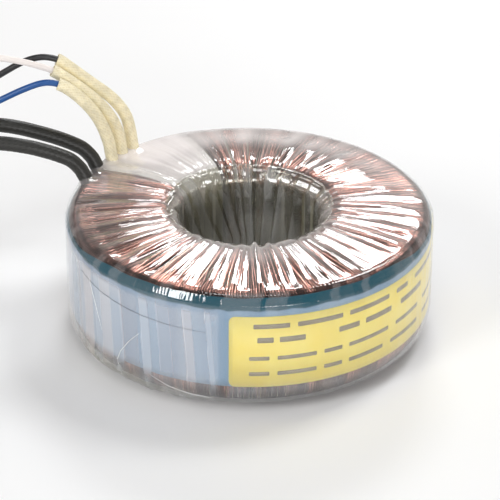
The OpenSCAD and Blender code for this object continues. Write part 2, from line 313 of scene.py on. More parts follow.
def film_material(name, mirror):
    """Clear polyester film: see-through, milky where it lies in many layers, and glossy.
    mirror: share of the light that all its layers together throw back, seen straight on."""
    made = new_material(name)
    haze, olive, pink, stuck = (attribute(made, key) for key in ("haze", "olive", "pink", "stuck"))

    # fine ribs that run out from the axis, over soft waves
    split = node(made, "ShaderNodeSeparateXYZ", {"Vector": place(made)})
    angle = reckon(made, "ARCTAN2", split.outputs["Y"], split.outputs["X"])
    wander = reckon(made, "MULTIPLY", noise(made, 90, 2), 0.06)
    shifted = reckon(made, "ADD", angle, wander)
    ribs = reckon(made, "SINE", reckon(made, "MULTIPLY", shifted, FILM_RIBS))
    soft = bump(made, noise(made, 160, 2), 0.12, 0.0002)
    normal = bump(made, ribs, 0.25, 0.00003, Normal=soft)

    # the body: clear, or milky; the milky share also carries painted reflection of the pale room
    # where make_film puts it
    pale = ramp(made, pink, 0.3, 0.8, (0.78, 0.83, 0.90), (0.93, 0.87, 0.86))
    milk_colour = colour_mix(made, olive, pale, (0.50, 0.46, 0.34, 1))
    milk = node(made, "ShaderNodeBsdfDiffuse", {"Color": milk_colour, "Normal": soft})
    clear_colour = ramp(made, olive, 0, 1, (0.97, 0.97, 0.96), (0.70, 0.68, 0.55))
    clear = node(made, "ShaderNodeBsdfTransparent", {"Color": clear_colour})
    body = shader_mix(made, haze, clear.outputs[0], milk.outputs[0])

    # the mirror over it: weaker where the film is stuck down, stronger at a grazing view
    gloss = node(
        made, "ShaderNodeBsdfGlossy", {"Color": (1, 1, 1, 1), "Roughness": 0.06, "Normal": normal}
    )
    weight = node(made, "ShaderNodeLayerWeight", {"Blend": 0.5, "Normal": normal})
    steep = reckon(made, "POWER", weight.outputs["Facing"], FILM_STEEPNESS)
    layers = node(
        made, "ShaderNodeMapRange", {"Value": stuck, "To Min": mirror, "To Max": 0.2 * mirror}
    )
    share = reckon(made, "MULTIPLY_ADD", steep, 1 - mirror, layers.outputs[0])
    return show(made, shader_mix(made, share, body, gloss.outputs[0]))


# ---- leads ----


def turn_by(distance):
    """Angle in degrees that a distance round the shoulder takes up."""
    return distance / (WINDING_R - SHOULDER_CORNER) / DEG


FOOT_GAP = 0.15
PRIMARY_SLOPE = 78
SECONDARY_SLOPE = 58
PRIMARY_STEPS = (0, 3, 6)  # distances from the winding of a route's first points
SECONDARY_STEPS = (0, 2, 4)
PRIMARY_PITCH = 4.08
FINISH_PITCH = 4.45
START_PITCH = 6.3
WHITE_FOOT = 141
BLACK_FOOT = WHITE_FOOT - turn_by(PRIMARY_PITCH)
BLUE_FOOT = WHITE_FOOT + turn_by(PRIMARY_PITCH)
FINISH_FOOT = BLUE_FOOT + turn_by(FINISH_PITCH)
START_FOOT = FINISH_FOOT + turn_by(START_PITCH)
FEET = (
    (WHITE_FOOT, PRIMARY_SLOPE), (BLACK_FOOT, PRIMARY_SLOPE), (BLUE_FOOT, PRIMARY_SLOPE),
    (START_FOOT, SECONDARY_SLOPE), (FINISH_FOOT, SECONDARY_SLOPE),
)


def foot(direction, slope, distance):
    """A point at a distance from the shoulder of the winding, at right angles to its surface."""
    a, e = direction * DEG, slope * DEG
    centre = around(
        WINDING_R - SHOULDER_CORNER, a, WINDING_TOP - WINDING_RISE - SHOULDER_CORNER)
    normal = around(math.cos(e), a, math.sin(e))
    return centre + (SHOULDER_CORNER + FOOT_GAP + distance) * normal


# the leads' routes: in the sleeve, and free beyond it or beyond the winding
WHITE_IN_SLEEVE = [
    (-35.8, 28.2, 42.5), (-38, 28.2, 46.2), (-41, 28.2, 49.6), (-44.4, 28.2, 52.6),
    (-48, 28.2, 55.4), (-51.6, 28.2, 57.8),
]
BLACK_IN_SLEEVE = [
    (-32.8, 31.7, 42.8), (-34.8, 31.8, 46.2), (-37.6, 31.8, 49.2), (-41, 31.8, 51.9),
    (-44.4, 31.8, 54.6), (-47.6, 31.8, 57.2), (-50.6, 31.8, 59.3),
]
BLUE_IN_SLEEVE = [
    (-38.6, 24.9, 43), (-40.6, 24.8, 47), (-43.4, 24.7, 50.6), (-46.6, 24.7, 53.6),
    (-50, 24.7, 55.6),
]
WHITE_FREE = [
    (-55.5, 28, 59.3), (-60, 28, 60.5), (-65, 28, 61.3), (-73, 28, 61), (-81, 28, 58.5),
    (-88, 28.5, 54), (-94, 29.5, 48), (-99, 31, 41), (-103, 33, 33.5), (-107, 35.5, 26),
    (-111, 38, 18.5), (-116, 41, 11.5), (-122, 44, 5.5), (-129, 46, 2), (-136.5, 45.5, 1),
    (-143.5, 42.5, 1), (-148.5, 37, 1), (-151, 29.5, 1),
]
BLACK_FREE = [
    (-54.6, 31.6, 60), (-59, 31.4, 58.9), (-64, 31.4, 56), (-71, 32, 51), (-77, 34, 45.5),
    (-82, 37, 39), (-86, 40.5, 32), (-90, 44, 25), (-94.5, 47.5, 18), (-99.5, 51, 11.5),
    (-106, 54, 6), (-113.5, 56.5, 2.3), (-122, 57.5, 1), (-130.5, 57.5, 1), (-139, 56.5, 1),
    (-146.5, 53.5, 1), (-152, 48, 1), (-155, 40.5, 1),
]
BLUE_FREE = [
    (-54, 24.8, 55.8), (-59, 24.9, 53.9), (-65, 25, 50.8), (-73, 25, 46.5), (-80, 25.5, 41),
    (-86, 26.5, 34.5), (-91, 28.5, 27.5), (-95.5, 31, 20.5), (-100.5, 34, 13.5),
    (-106, 37.5, 7.5), (-113, 41, 3), (-120.5, 42.5, 1), (-129, 41, 1), (-136.5, 37, 1),
    (-142.5, 31, 1), (-146, 23.5, 1), (-147, 15.5, 1),
]
START_FREE = [
    (-46.6, 15.3, 38.2), (-49.8, 15.3, 39.7), (-53.5, 15.2, 41), (-58, 15.1, 42.2),
    (-65, 15, 43.2), (-73, 14.5, 43), (-81, 13.5, 40), (-88, 12, 34.5), (-93.5, 10, 27.5),
    (-98, 7, 20.5), (-102.5, 3, 14), (-107.5, -1.5, 8), (-113.5, -6.5, 4), (-120, -12.5, 2.2),
    (-125.5, -19.5, 2), (-128.5, -28, 2), (-128, -36.5, 2), (-123.5, -43.5, 2), (-116, -47, 2),
    (-107.5, -46.5, 2),
]
FINISH_FREE = [
    (-43.8, 21.9, 38.2), (-47, 21.8, 40), (-51, 21.6, 41.7), (-55.5, 21.4, 43.2),
    (-60, 21.2, 44.5), (-65, 21, 45.4), (-73, 21, 45.5), (-81, 20.5, 43), (-88.5, 19.5, 38.5),
    (-95, 18, 32), (-100.5, 15.5, 25), (-106, 12, 18), (-112, 7.5, 11.5), (-119, 2, 6),
    (-126, -4, 3), (-132, -11, 2), (-136, -19.5, 2), (-137.5, -28.5, 2), (-136.5, -38, 2),
    (-132, -46, 2),
]


SPLINE_STEPS = 8


def spline(points):
    """A smooth curve through the points, with SPLINE_STEPS steps between two of them."""
    p = np.array(points, float)[:, None]
    before, here = np.concatenate([p[:1], p[:-2]]), p[:-1]
    there, after = p[1:], np.concatenate([p[2:], p[-1:]])
    t = (np.arange(SPLINE_STEPS) / SPLINE_STEPS)[:, None]
    square = 2 * before - 5 * here + 4 * there - after
    cube = 3 * here - before - 3 * there + after
    curve = 0.5 * (2 * here + (there - before) * t + square * t**2 + cube * t**3)
    return np.concatenate([curve.reshape(-1, 3), p[-1]])


def primary_route(direction, inside, beyond):
    """Returns the points of the sleeve's route and of its lead's route, which starts up in it."""
    feet = [foot(direction, PRIMARY_SLOPE, s) for s in PRIMARY_STEPS]
    whole = spline(feet + inside + beyond)
    sleeve_end = (len(feet) + len(inside) - 1) * SPLINE_STEPS
    lead_start = (len(feet) - 1) * SPLINE_STEPS
    return whole[: sleeve_end + 1], whole[lead_start:]


def secondary_route(direction, beyond):
    return spline([foot(direction, SECONDARY_SLOPE, s) for s in SECONDARY_STEPS] + beyond)


def braided_tube(name, path, diameter, material, slot, strands, pitch, depth, node_name, bore=0.0):
    """A braided sleeve: two sets of flat strands that wind over and under each other.
    pitch: length of one turn of a strand. depth: of the valleys. bore: 0 for a solid lead."""
    step = pitch / 10
    path = evenly(path, step)
    sides = strands * 4
    turn = np.arange(sides)[None, :] * 2 * math.pi / sides
    along = (np.arange(len(path)) * step * 2 * math.pi / pitch)[:, None]
    one = np.cos(strands / 2 * turn + along)
    two = np.cos(strands / 2 * turn - along)
    over = one * two > 0
    raised = np.maximum(np.abs(one) ** 0.6 * over, np.abs(two) ** 0.6 * ~over)
    points = tube_points(path, diameter / 2 - depth * (1 - raised), sides)
    faces = grid_faces(len(path), sides, wrap_columns=True)
    if bore:
        start = len(points)
        points = np.concatenate([points, tube_points(path, bore / 2, sides)])
        faces += [[start + k for k in reversed(face)] for face in faces]
        for first, flip in ((0, False), (start - sides, True)):
            for k in range(sides):
                a, b = first + k, first + (k + 1) % sides
                quad = [a, start + a, start + b, b]
                faces.append(quad[::-1] if flip else quad)
    else:
        faces += tube_ends(len(points), sides)
    raised_at = np.concatenate([raised.ravel(), np.zeros(len(points) - raised.size)])
    piece = mesh_piece(name, points, faces, material, slot, {"raised": raised_at})
    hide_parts(node_name)
    return piece


def braid_material(name, deep, high, roughness):
    """Varnished glass braid, with painted shade in the valleys between its strands."""
    made = new_material(name)
    # painted shade: the colour runs from the deep one in the valleys to the high one on the strands
    shade = ramp(made, attribute(made, "raised"), 0.1, 0.8, deep, high)
    blotch = ramp(made, noise(made, 500, 4), 0.3, 0.75, (0.78, 0.78, 0.78), (1.06, 1.06, 1.06))
    shader = principled(
        made,
        Base_Color=colour_mix(made, 1.0, shade, blotch, blend_type="MULTIPLY"),
        Roughness=roughness,
        Coat_Weight=0.15,
        Coat_Roughness=0.3,
        Normal=bump(made, noise(made, 3500, 2), 0.35, 0.00004),
    )
    return show(made, shader)


LEAD_SIDES = 16
PVC_COLOURS = {
    "white": ((0.82, 0.74, 0.70), (0.90, 0.84, 0.80)),
    "black": ((0.010, 0.010, 0.011), (0.022, 0.022, 0.024)),
    "blue": ((0.008, 0.075, 0.27), (0.015, 0.11, 0.36)),
}


def make_leads():
    # each braid's first colour is the painted shade of its valleys
    yellow = braid_material("yellow_varnished_braid", (0.78, 0.65, 0.35), (0.97, 0.88, 0.62), 0.45)
    dark = braid_material(
        "black_varnished_braid", (0.004, 0.004, 0.003), (0.020, 0.019, 0.015), 0.5)
    tin = plain("tinned_wire", (0.55, 0.55, 0.53), (0.75, 0.75, 0.74), 0.32, 1.0, 2500, 0.00006)
    sleeve_d, sleeve_bore, lead_d, black_d = 3.3, 2.4, 1.7, 3.8
    for colour, direction, inside, beyond in (
        ("white", WHITE_FOOT, WHITE_IN_SLEEVE, WHITE_FREE),
        ("black", BLACK_FOOT, BLACK_IN_SLEEVE, BLACK_FREE),
        ("blue", BLUE_FOOT, BLUE_IN_SLEEVE, BLUE_FREE),
    ):
        sleeve_path, lead_path = primary_route(direction, inside, beyond)
        sleeve = braided_tube(
            colour + "_braid", sleeve_path, sleeve_d, yellow, "yellow_braid",
            strands=12, pitch=2.4, depth=0.16, node_name=colour + "_sleeve", bore=sleeve_bore)
        path = evenly(lead_path, 1.0)
        pvc = plain(
            colour + "_pvc", *PVC_COLOURS[colour], 0.36, grain=500, depth=0.00002, coat=0.15)
        lead = mesh_piece(
            colour + "_wire", tube_points(path, lead_d / 2, LEAD_SIDES),
            tube_faces(len(path), LEAD_SIDES), pvc, colour + "_pvc")
        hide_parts(colour + "_lead")
    for which, direction, beyond in (
        ("start", START_FOOT, START_FREE), ("finish", FINISH_FOOT, FINISH_FREE)
    ):
        route = secondary_route(direction, beyond)
        lead = braided_tube(
            which + "_braid", route, black_d, dark, "black_braid",
            strands=14, pitch=3.0, depth=0.14, node_name="secondary_" + which)
        path = evenly(route, 1.0)
    for name in ("white_lead_end", "black_lead_end", "blue_lead_end", "secondary_start_end",
            "secondary_finish_end", "white_splice", "black_splice", "blue_splice"):
        paint(name, tin)


def paint(name, material):
    """Gives a CAD node that stays a better material."""
    slots = frame["nodes"][name].data.materials
    slots.clear()
    slots.append(material)


# ---- copper turns ----

TURNS = 360
WIRE_R = 0.36
WIRE_SIDES = 6


def arc(r, z, radius, start, end, steps):
    """Points of an arc after its first one. start and end: directions of its normal in degrees."""
    angles = np.linspace(start, end, steps + 1)[1:] * DEG
    return [(r + radius * math.cos(a), z + radius * math.sin(a)) for a in angles]


def chamfered(r, z, inset, end, steps=(3, 4, 6)):
    """Shoulder of the film: a small arc, a straight flank, and a larger arc.
    r, z: where the wall ends. inset: how far the points lie inside the film.
    end: direction in which the larger arc ends. steps: of the arc, the flank and the arc."""
    small, large = CHAMFER_ARCS[0] - inset, CHAMFER_ARCS[1] - inset
    slope = CHAMFER_SLOPE * DEG
    points = arc(r - CHAMFER_ARCS[0], z, small, 0, CHAMFER_SLOPE, steps[0])
    low = points[-1]
    step = CHAMFER_FLANK / steps[1]
    points += [
        (low[0] - k * step * math.sin(slope), low[1] + k * step * math.cos(slope))
        for k in range(1, steps[1] + 1)
    ]
    high = points[-1]
    middle = (high[0] - large * math.cos(slope), high[1] - large * math.sin(slope))
    return points + arc(*middle, large, CHAMFER_SLOPE, end, steps[2])


def half_section(outer, bore, low, top, rise, heel, hole, shoulder, counts):
    """Closed outline of a wound ring as points (r, z), from the wall's lower end upwards.
    heel and hole: radii of the lower outer corner and of those of the hole. shoulder: its points.
    counts: steps on the wall, top, rim, hole, lower rim, underside and heel."""
    wall, top_steps, rim, inside, low_rim, under, heel_steps = counts
    outer_top = shoulder[-1][0]
    points = [(outer, z) for z in np.linspace(low + rise + heel, shoulder[0][1], wall + 1)[:-1]]
    points += shoulder
    for r in np.linspace(outer_top, bore + hole, top_steps + 1)[1:]:
        points.append((r, top - rise * max(0.0, (r - CREST_R) / (outer_top - CREST_R)) ** 2))
    points += arc(bore + hole, top - hole, hole, 90, 180, rim)
    points += [(bore, z) for z in np.linspace(top - hole, low + hole, inside + 1)[1:]]
    points += arc(bore + hole, low + hole, hole, 180, 270, low_rim)
    for r in np.linspace(bore + hole, outer - heel, under + 1)[1:]:
        points.append((r, low + rise * max(0.0, (r - CREST_R) / (outer - heel - CREST_R)) ** 2))
    points += arc(outer - heel, low + rise + heel, heel, 270, 360, heel_steps)[:-1]
    return np.array(points)


def normals_of(points):
    """Outward unit normals of a closed outline."""
    step = np.roll(points, -1, 0) - np.roll(points, 1, 0)
    out = np.stack([step[:, 1], -step[:, 0]], 1)
    return out / np.linalg.norm(out, axis=1)[:, None]


# how much the turns and the film lie lower at the back shoulder, in mm. The turns stay above the
# tape under them, so they sag less
TURNS_SAG = 0.3
FILM_SAG = 1.1


def sag(r, z, direction):
    """How much a point takes part in that, as a share. direction: in degrees from +X."""
    behind = smooth(0.2 + 1.2 * np.sin(direction * DEG))
    pad = 1 - 0.45 * bell(direction, GAP_MIDDLE, 26, 4)
    return smooth((z - 30.5) / 3) * smooth((r - 33) / 9) * behind * pad


def make_turns():
    """One closed loop of wire a turn. Every second turn climbs on its neighbours where the ring
    narrows."""
    rng = random(3)
    shoulder_z = WINDING_TOP - TURNS_RISE - TURNS_CORNER
    shoulder = [(WINDING_R - WIRE_R, shoulder_z)]
    shoulder += arc(WINDING_R - TURNS_CORNER, shoulder_z, TURNS_CORNER - WIRE_R, 0, 90, 5)
    outline = half_section(
        WINDING_R - WIRE_R, TURNS_BORE_R + WIRE_R, WINDING_LOW + WIRE_R, WINDING_TOP - WIRE_R,
        TURNS_RISE, HEEL_CORNER - WIRE_R, HOLE_CORNER - WIRE_R, shoulder, (3, 8, 4, 2, 2, 3, 4))
    out = normals_of(outline)
    crowded = smooth((43.5 - outline[:, 0]) / 8)
    count = len(outline)
    once_round = np.linspace(0, 2 * math.pi, count)
    ring = (np.arange(WIRE_SIDES) * 2 * math.pi / WIRE_SIDES)[None, :, None]
    loop_faces = np.array(grid_faces(count, WIRE_SIDES, True, True))
    first = GAP_MIDDLE + GAP_ANGLE / 2
    points, faces, tone = [], [], []
    for i in range(TURNS):
        angle = (first + (i + 0.5) * (360 - GAP_ANGLE) / TURNS + rng.normal(0, 0.05)) * DEG
        sink = 0.75 * crowded * (i % 2) + 0.12 * rng.random()
        r, z = (outline - out * sink[:, None]).T
        drift = rng.normal(0, 0.42) * crowded * np.sin(once_round + rng.random() * 6)
        turn = angle + drift / np.maximum(outline[:, 0], 20)
        centre = around(r, turn, z - TURNS_SAG * sag(r, z, np.degrees(turn) % 360))
        tangent = np.roll(centre, -1, 0) - np.roll(centre, 1, 0)
        tangent /= np.linalg.norm(tangent, axis=1)[:, None]
        normal = around(out[:, 0], turn, out[:, 1])
        side = np.cross(tangent, normal)
        loop = centre[:, None] + WIRE_R * (
            np.cos(ring) * normal[:, None] + np.sin(ring) * side[:, None])
        faces += (loop_faces + i * count * WIRE_SIDES).tolist()
        points.append(loop.reshape(-1, 3))
        group = 0.5 + 0.5 * math.sin(
            i * 0.37 + 2.0 * math.sin(i * 0.083) + 1.3 * math.sin(i * 0.21))
        shade = 0.55 * rng.random() + 0.45 * group
        # painted shade: darker low down, where the floor by the ring lies in shadow, and at the
        # outer edge of the top, where the turns bend down into shade under the band's margin
        shade = shade - 0.6 * smooth((9 - z) / 4)
        shade = shade - 0.8 * smooth((r - 43.5) / 1.5) * smooth((z - 26) / 3)
        tone.append(np.repeat(np.clip(shade, 0, 1), WIRE_SIDES))
    piece = mesh_piece("copper_turns", np.concatenate(points), faces, copper_material(),
        "secondary_copper", {"tone": np.concatenate(tone)})
    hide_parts("secondary_winding")


# ---- clear film ----

FILM_R = WRAP_R - 0.35
FILM_TOP = WRAP_TOP - 0.25
FILM_LOW = 0.3
FILM_RISE = 0.6
FILM_WALL_TOP = 30.8
FILM_HEEL = 6.4
FILM_HOLE_CORNER = 5.9
FILM_MIRROR = 0.10
COLUMNS = 1440
STRIPS = 108
FOLDS = 80
LEAN = 1.6  # of the strips on the wall, in degrees over half its height
STRIP_THICKNESS = 0.10
PLEAT_HEIGHT = 0.36
# how far the film's wall in the hole lies back, to leave room for the folds of its innermost layer
LINER_ROOM = 0.6
LINER_GAP = 0.03  # between the two
LINER_THICKNESS = 0.02
LINER_COLUMNS = 720
LINER_ROW = 0.6
LINER_LOW = 4.5
LINER_MIRROR = 0.16
# folds in the hole: direction at the rim, direction low down, height, width
HOLE_FOLDS = (
    (192, 176, 0.45, 2.6), (173, 150, 0.60, 3.0), (156, 131, 0.50, 2.4), (141, 116, 0.62, 3.4),
    (124, 105, 0.50, 2.2), (112, 98, 0.65, 2.6), (100, 93, 0.55, 1.6), (90, 87, 0.62, 2.4),
    (76, 80, 0.50, 2.8), (63, 71, 0.62, 2.2), (48, 56, 0.45, 3.0), (33, 36, 0.55, 2.2),
    (16, 12, 0.45, 2.6),
)


def waves_round(rng, theta, r, count, low, high, swing):
    """Waves that run out from the hole. Their heights add up to about 1.
    low, high: range of their number round the ring. swing: how far they meander."""
    total = np.zeros((len(r), len(theta)))
    level = (np.maximum(r, 22) - 22) / 25
    for _ in range(count):
        n = rng.integers(low, high)
        phase = rng.uniform(0, 6.28) + swing * (rng.normal() * level + rng.normal() * level**2)
        size = 0.6 * rng.random()
        strength = 0.4 + size * np.cos(rng.integers(1, 7) * theta * DEG + rng.uniform(0, 6.28))
        total += strength[None, :] * np.cos(n * theta[None, :] * DEG + phase[:, None])
    return total / math.sqrt(count)


def strips_at(rng, at, count, jitter):
    """Overlapping strips side by side round the ring. Returns for each angle the number of its
    strip, and the distance in degrees from that strip's first edge."""
    edges = np.sort((np.arange(count) + rng.uniform(-jitter, jitter, count)) * 360 / count % 360)
    number = np.searchsorted(edges, at, side="right") - 1
    first = np.where(number < 0, edges[-1] - 360, edges[number])
    return number % count, at - first


def make_film():
    """A closed shell: overlapping strips stand up as small steps, and folds run out of the hole."""
    rng = random(11)
    shoulder = [(FILM_R, FILM_WALL_TOP)] + chamfered(FILM_R, FILM_WALL_TOP, 0, 90)
    outline = half_section(FILM_R, BORE_R + LINER_ROOM, FILM_LOW, FILM_TOP, FILM_RISE,
        FILM_HEEL, FILM_HOLE_CORNER, shoulder, (9, 15, 9, 8, 4, 3, 6))
    out = normals_of(outline)
    r, z = outline.T
    theta = np.arange(COLUMNS) * 360 / COLUMNS
    upper = smooth((z - 24) / 7)
    inward = smooth((41 - r) / 16)
    in_hole = smooth((24.5 - r) / 5)
    on_wall = smooth((r - 45.8) / 0.8)
    on_top = upper * smooth((44.6 - r) / 2.5)
    lower = smooth((10 - z) / 7)

    # strips on the wall lean a little
    lean = LEAN * (z - 17) / 17 * on_wall
    at = (theta[None, :] + lean[:, None] + 0.12 * np.sin(z / 5)[:, None]) % 360
    number, away = strips_at(rng, at, STRIPS, 0.45)
    step = np.clip(away / 0.35, 0, 1) * (1 - 0.25 * away)
    push = STRIP_THICKNESS * rng.uniform(0.3, 1.3, STRIPS)[number] * step * on_wall[:, None]

    # broad pleats on the top, finer ones, and more of both at the hole's rim at the back
    pleats = waves_round(rng, theta, r, 12, 16, 46, 1.5)
    fine = waves_round(rng, theta, r, 14, 70, 150, 3.0)
    rim_back = (bell(r, 23.5, 5) * smooth((z - 24) / 5))[:, None] * smooth(
        0.6 + np.sin(theta * DEG))[None, :]
    push += (PLEAT_HEIGHT * pleats + 0.022 * fine) * on_top[:, None] * (1 + 1.3 * rim_back)
    push += 0.20 * waves_round(rng, theta, r, 8, 24, 52, 1.2) * rim_back
    push += (0.04 * np.abs(pleats) + 0.004 * fine) * (upper * on_wall)[:, None]

    # folds start in the hole and run out over the top and the underside, each to its own radius
    for _ in range(FOLDS):
        where = rng.uniform(0, 360)
        reach = rng.uniform(25, 38)
        width = rng.uniform(0.6, 2.2)
        size = rng.uniform(0.2, 0.9) * (1 if rng.random() < 0.7 else -0.5)
        size *= 0.7 + 0.3 * math.sin(where * DEG)
        bend = rng.normal(0, 1.6) * inward + rng.normal(0, 4) * in_hole * (z - 30) / 17
        fade = smooth((reach - r) / 9) * (0.4 + 0.6 * in_hole)
        aside = aside_of(theta[None, :], where + bend[:, None]) * DEG * np.maximum(r, 18)[:, None]
        push += size * fade[:, None] * np.clip(1 - np.abs(aside) / width, 0, 1)

    # broad dents in the hole and on the underside
    dented = np.maximum(in_hole, 1 - upper) * (1 - on_wall)
    push += 0.10 * waves_round(rng, theta, r, 8, 5, 30, 2.0) * dented[:, None]

    # loose folds at the lower edge, towards the front left
    loose = bell(theta, 219, 28)[None, :] * (lower * smooth((r - 40) / 5))[:, None]
    creases = np.abs(waves_round(rng, theta, r, 10, 12, 60, 5.0)) + 0.2 * np.sin(z * 1.3)[:, None]
    push += loose * (0.4 + 1.5 * creases)

    # the film stands up round each lead
    skin = around(r[:, None], theta * DEG, z[:, None])
    for direction, slope in FEET:
        distance = np.linalg.norm(skin - foot(direction, slope, 1.2), axis=-1)
        push += 0.9 * bell(distance, 0, 2.6)

    push = np.clip(push, -0.5, 1.6) * (1 - 0.8 * in_hole * smooth((31 - z) / 3))[:, None]
    radius = np.maximum(r[:, None] + out[:, 0][:, None] * push, BORE_R)
    sunk = FILM_SAG * sag(r[:, None], z[:, None], theta[None, :])
    level = np.maximum(z[:, None] + out[:, 1][:, None] * push - sunk, 0)
    points = around(radius, theta * DEG, level)

    # milky where the film doesn't touch what is under it or lies in many layers; two parts below
    # are painted reflection
    below_curl = smooth((FILM_WALL_TOP - z) / 1.0)[:, None]
    edge = np.clip(1 - away / 0.3, 0, 1)
    milky = 0.25 + 0.24 * rng.random(STRIPS)[number] ** 1.5 + 0.20 * edge
    milky *= on_wall[:, None] * below_curl
    over_label = (theta - LABEL_START + 1) % 360 < LABEL_LENGTH / LABEL_R / DEG + 2
    milky *= 1 - 0.92 * over_label[None, :] * smooth((z - BAND_LOW) / 1.0)[:, None]
    milky *= 1 - 0.85 * smooth((BAND_LOW - z) / 1.5)[:, None]
    milky *= 1 - 0.85 * bell(theta, LABEL_START - 1.6, 1.7, 4)[None, :]
    gap = bell(theta, GAP_MIDDLE, 17, 4)[None, :] * (upper * (1 - in_hole))[:, None]
    # the layers pile up at the hole's rim and make it milky; that the rim's milk is far stronger at
    # the front is painted reflection of the pale room behind
    rim = smooth((34 - r) / 7) * (1 - 0.7 * in_hole * smooth((31 - z) / 6))
    front = (0.5 - 0.5 * np.sin(theta * DEG))[None, :]
    haze = 0.02 + milky + 0.26 * rim[:, None] * (0.05 + 0.95 * front) + 0.6 * gap
    # painted reflection: the outer part of the top at the back is made milky and pale, for the pale
    # room low behind that it mirrors
    painted_reflection_zone = (upper * smooth((r - 28) / 7))[:, None]
    haze += (1 - front) ** 2 * painted_reflection_zone * np.clip(0.42 + 0.30 * pleats, 0.1, 0.8)
    deep = (in_hole * smooth((33 - z) / 6))[:, None]
    blotches = np.clip(1.4 * waves_round(rng, theta, r, 8, 8, 40, 0.6), 0, 1) ** 2
    haze += (0.16 + 0.7 * blotches) * deep
    olive = np.clip(0.75 * deep + 0.7 * loose, 0, 1)
    haze += loose * np.clip(0.10 + 0.9 * creases, 0, 0.8)
    pink = rng.random(STRIPS)[number] * (on_wall * (1 - upper))[:, None]
    pink += (upper * (1 - 0.3 * on_wall))[:, None]

    # the film sticks to the band's upper margin, but less towards the front left
    margin = (smooth((z - FILM_WALL_TOP + 0.6) / 0.8) * smooth((r - 44.2) / 1.2))[:, None]
    left = bell(theta, 243, 16, 4)[None, :]
    haze += 0.09 * margin * (rng.random(STRIPS)[number] > 0.66)
    stuck = margin * (1 - left) * (0.55 + 0.45 * (rng.random(STRIPS)[number] > 0.35))
    values = {"haze": np.clip(haze, 0, 0.9).ravel(), "olive": olive.ravel(),
        "pink": pink.ravel(), "stuck": stuck.ravel()}
    piece = mesh_piece("film", points.reshape(-1, 3), grid_faces(len(r), COLUMNS, True, True),
        film_material("clear_film", FILM_MIRROR), "clear_film", values)
    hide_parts("clear_wrap")


def make_liner():
    """The innermost layer of film in the hole. It lies loose, and its folds fan out upwards from
    low on the far side."""
    rng = random(17)
    corner = FILM_HOLE_CORNER
    middle = (BORE_R + LINER_ROOM + corner, FILM_TOP - corner)
    rim = [(middle[0] + (corner + LINER_GAP) * math.cos(a),
        middle[1] + (corner + LINER_GAP) * math.sin(a)) for a in np.linspace(118, 180, 12) * DEG]
    wall = [(BORE_R + LINER_ROOM - LINER_GAP, z)
        for z in np.arange(middle[1] - LINER_ROW, LINER_LOW, -LINER_ROW)]
    inner = rim + wall
    outer = [(r + LINER_THICKNESS, z) for r, z in inner[::-6]]
    r, z = np.array(inner + outer).T
    out = np.stack([
        np.clip((r - middle[0]) / corner, -1, 0), np.clip((z - middle[1]) / corner, 0, 1)], 1)
    out /= np.linalg.norm(out, axis=1)[:, None]
    theta = np.arange(LINER_COLUMNS) * 360 / LINER_COLUMNS

    # each fold is steep on the side it leans to, and higher close to the rim
    size = np.zeros((len(r), LINER_COLUMNS))
    tent = 1 + 1.6 * smooth((z - 26) / 4)
    for top, low, height, width in HOLE_FOLDS:
        slant = top + (low - top) * np.clip((33 - z) / 19, 0, 1)
        aside = aside_of(theta[None, :], slant[:, None]) * DEG * 18
        steep = aside > 0 if low > top else aside < 0
        ridge = np.clip(1 - np.abs(aside) / np.where(steep, 0.25 * width, width), 0, 1)
        size = np.maximum(size, height * ridge * tent[:, None])

    # small waves between the folds, some straight and some that drift aside lower down
    straight = np.full(len(r), 22.0)
    size += 0.10 * np.clip(waves_round(rng, theta, straight, 8, 20, 70, 0.0), 0, 1)
    drift = waves_round(rng, theta, 22 + (33 - z), 10, 12, 50, 2.0)
    ends = smooth((z - LINER_LOW) / 4) * smooth((21.9 - r) / 1.2)
    size = (size + 0.16 * np.clip(drift, 0, 1.2)) * ends[:, None]
    size[len(inner):] = 0
    radius = np.maximum(r[:, None] + out[:, 0][:, None] * size, BORE_R)
    points = around(radius, theta * DEG, z[:, None] + out[:, 1][:, None] * size)
    haze = (0.03 + 0.34 * np.clip(size / 0.6, 0, 1) ** 2) * ends[:, None]
    haze *= 0.65 + 0.35 * np.sin(5 * theta * DEG + 1)[None, :]
    even = np.full(haze.size, 0.4)
    values = {"haze": haze.ravel(), "olive": even, "pink": even, "stuck": 0 * even}
    piece = mesh_piece("film_in_hole", points.reshape(-1, 3),
        grid_faces(len(r), LINER_COLUMNS, True, True),
        film_material("film_in_hole", LINER_MIRROR), "clear_film", values)
    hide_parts("clear_wrap")


def line_on_wall(name, points, width, out, material):
    """A thin ridge along points (direction in degrees, height) on the film's wall."""
    way = evenly(np.array([[a * DEG * FILM_R, z, 0.0] for a, z in points]), 0.8)
    path = around(FILM_R + out, way[:, 0] / FILM_R, way[:, 1])
    taper = width / 2 * (0.35 + 0.65 * np.sin(np.linspace(0.1, 3.04, len(path))))
    mesh_piece(name, tube_points(path, taper[:, None], 6), tube_faces(len(path), 6),
        material, "clear_film")


def make_creases():
    dark = plain("film_scratch", (0.22, 0.23, 0.25), (0.36, 0.37, 0.40), 0.4, grain=700)
    pale = plain("film_crease", (0.80, 0.81, 0.80), (0.93, 0.93, 0.92), 0.2, grain=700, coat=0.5)
    for name, points, width, out, material in (
        ("scratch", [(207, 26.6), (218, 25.2), (232, 24.2), (246, 23.6), (257, 23.3)],
            0.16, 0.12, dark),
        ("crease_1", [(235, 18.5), (231, 15), (227.5, 11), (226, 8), (228, 4.5)],
            0.22, 0.16, pale),
        ("crease_2", [(212, 27), (216, 20), (219, 14)], 0.16, 0.12, pale),
        ("crease_3", [(239, 7.5), (245, 5.8), (252, 5.0), (259, 4.6)], 0.22, -0.05, pale),
    ):
        line_on_wall(name, points, width, out, material)


# ---- band and label ----


